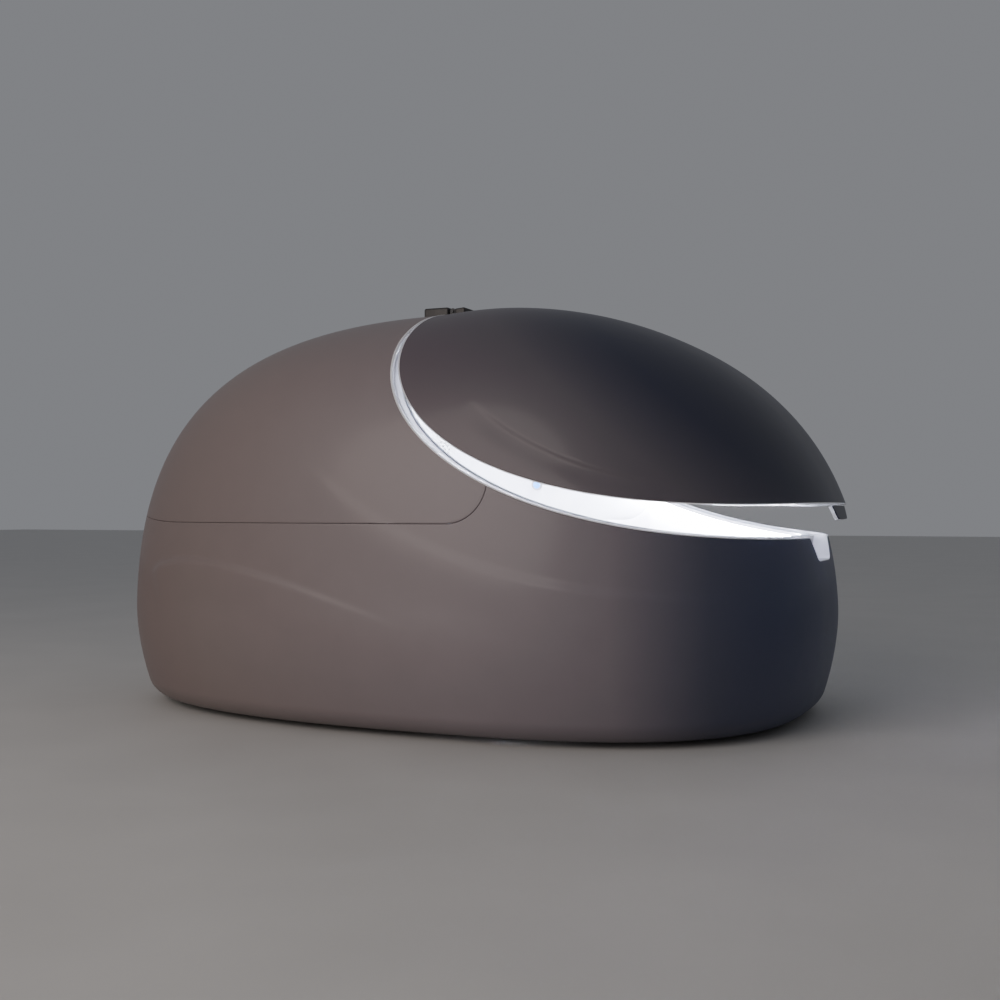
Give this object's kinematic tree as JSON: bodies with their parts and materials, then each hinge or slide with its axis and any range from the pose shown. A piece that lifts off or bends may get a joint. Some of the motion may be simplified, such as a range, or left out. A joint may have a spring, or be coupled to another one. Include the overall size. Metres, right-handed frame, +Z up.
{
  "type": "flotation tank",
  "caption": "Egg-shaped float pod with a hinged lid, a shallow heated bath, gas struts, a pump and filter under the tail, and levelling feet.",
  "frame": {"origin": "floor under the middle of the closed pod, at the underside of the centre levelling foot", "axes": "+X along the pod from the tail to the nose, +Y across the pod to its left side, +Z up"},
  "size_m": [2.4865, 1.6998, 1.328],
  "materials": {
    "gelcoat_shell": "glossy gelcoat on glass fibre",
    "gelcoat_lid": "glossy gelcoat on glass fibre",
    "gelcoat_white": "glossy white gelcoat",
    "gelcoat_inner": "glossy white gelcoat",
    "seal_rubber": "soft moulded seal",
    "light_diffuser": "opal diffuser",
    "stainless": "satin stainless steel",
    "hinge_steel": "satin stainless steel",
    "bush_bronze": "plain bearing bronze",
    "strut_black": "black powder coat",
    "strut_chrome": "hard chrome",
    "frame_paint": "grey powder coat",
    "foot_rubber": "matt rubber",
    "sheet_aluminium": "mill finish sheet",
    "plant_plastic": "moulded black plastic",
    "motor_casting": "painted aluminium casting",
    "white_plastic": "moulded white plastic",
    "filter_paper": "pleated polyester",
    "lamp_glass": "clear glass",
    "lever_red": "red dipped lever",
    "box_grey": "light grey powder coat",
    "button_blue": "moulded button",
    "button_orange": "moulded button"
  },
  "bodies": {
    "pod": {"lower_shell": "gelcoat_shell", "tail_hood": "gelcoat_shell", "rim_flange": "gelcoat_white", "nose_grip": "gelcoat_white", "rim_seal": "seal_rubber", "halo_light": "light_diffuser", "hood_liner": "gelcoat_inner", "bath_tub": "gelcoat_inner", "hinge_base": "hinge_steel", "hinge_pin": "hinge_steel", "hinge_bolts": "hinge_steel", "hinge_cover": "gelcoat_white", "hood_strut_plates": "hinge_steel", "base_frame": "frame_paint", "levelling_feet": "foot_rubber", "foot_nuts": "hinge_steel", "equipment_tray": "sheet_aluminium", "pump_volute": "plant_plastic", "pump_motor": "motor_casting", "filter_housing": "white_plastic", "filter_cartridge": "filter_paper", "suction_fitting": "stainless", "return_jet": "stainless", "water_pipes": "white_plastic", "uv_vessel": "stainless", "uv_lamp": "lamp_glass", "heater_vessel": "stainless", "heater_element": "stainless", "pool_drain": "stainless", "drain_pipes": "white_plastic", "drain_valve": "plant_plastic", "drain_outlet": "plant_plastic", "service_plate": "sheet_aluminium", "power_gland": "plant_plastic", "control_box": "box_grey", "fan_housing": "white_plastic", "speakers": "white_plastic", "switch_housings": "stainless", "pool_lamps": "stainless", "lamp_lenses": "lamp_glass"},
    "lid": {"lid_shell": "gelcoat_lid", "lid_liner": "gelcoat_inner", "lid_flange": "gelcoat_white", "lid_pull": "gelcoat_lid", "inner_handle": "stainless", "lid_hinge_leaf": "hinge_steel", "hinge_bushes": "bush_bronze", "lid_hinge_bolts": "hinge_steel", "lid_hinge_cover": "gelcoat_lid", "lid_strut_plates": "hinge_steel"},
    "strut_cylinder_right": {"strut_cylinder_right": "strut_black"},
    "strut_rod_right": {"strut_rod_right": "strut_chrome"},
    "strut_cylinder_left": {"strut_cylinder_left": "strut_black"},
    "strut_rod_left": {"strut_rod_left": "strut_chrome"},
    "pump_rotor": {"pump_impeller": "white_plastic"},
    "vent_rotor": {"vent_fan": "plant_plastic"},
    "filter_cap": {"filter_cap": "plant_plastic"},
    "drain_lever": {"drain_lever": "lever_red"},
    "light_button": {"light_button": "button_blue"},
    "help_button": {"help_button": "button_orange"}
  },
  "joints": [
    {"name": "lid_hinge", "type": "hinge", "parent": "pod", "child": "lid", "pos_m": [0.052, 0, 1.315], "axis": [0, -1, 0], "range_deg": [-4.9, 45]},
    {"name": "strut_pivot_right", "type": "hinge", "parent": "pod", "child": "strut_cylinder_right", "pos_m": [-0.14, -0.35, 1.09], "axis": [0, -1, 0], "range_deg": [-1, 9]},
    {"name": "strut_slide_right", "type": "slide", "parent": "strut_cylinder_right", "child": "strut_rod_right", "axis": [0.9591, 0, 0.283], "range_m": [-0.013, 0.117]},
    {"name": "strut_pivot_left", "type": "hinge", "parent": "pod", "child": "strut_cylinder_left", "pos_m": [-0.14, 0.35, 1.09], "axis": [0, -1, 0], "range_deg": [-1, 9]},
    {"name": "strut_slide_left", "type": "slide", "parent": "strut_cylinder_left", "child": "strut_rod_left", "axis": [0.9591, 0, 0.283], "range_m": [-0.013, 0.117]},
    {"name": "pump_spin", "type": "hinge", "parent": "pod", "child": "pump_rotor", "pos_m": [-1.062, -0.042, 0.2232], "axis": [0, 1, 0], "continuous": true},
    {"name": "vent_spin", "type": "hinge", "parent": "pod", "child": "vent_rotor", "pos_m": [-0.91844, 0, 0.96737], "axis": [0.6922, 0, -0.7217], "continuous": true},
    {"name": "filter_cap_turn", "type": "hinge", "parent": "pod", "child": "filter_cap", "pos_m": [-1.062, 0.27, 0.2232], "axis": [0, 1, 0], "range_deg": [0, 90]},
    {"name": "drain_lever_turn", "type": "hinge", "parent": "pod", "child": "drain_lever", "pos_m": [-0.93, 0, 0.08], "axis": [0, 1, 0], "range_deg": [0, 90]},
    {"name": "light_press", "type": "slide", "parent": "pod", "child": "light_button", "axis": [-0.0735, 0.9852, 0.1552], "range_m": [0, 0.0025], "stiffness_N_per_m": 800, "springref_m": -0.001},
    {"name": "help_press", "type": "slide", "parent": "pod", "child": "help_button", "axis": [-0.0735, -0.9852, 0.1552], "range_m": [0, 0.0025], "stiffness_N_per_m": 800, "springref_m": -0.001}
  ],
  "couplings": [
    {"joint": "strut_pivot_right", "follows": "lid_hinge", "ratio": 0.18},
    {"joint": "strut_slide_right", "follows": "lid_hinge", "m_per_rad": 0.147},
    {"joint": "strut_pivot_left", "follows": "lid_hinge", "ratio": 0.18},
    {"joint": "strut_slide_left", "follows": "lid_hinge", "m_per_rad": 0.147}
  ]
}
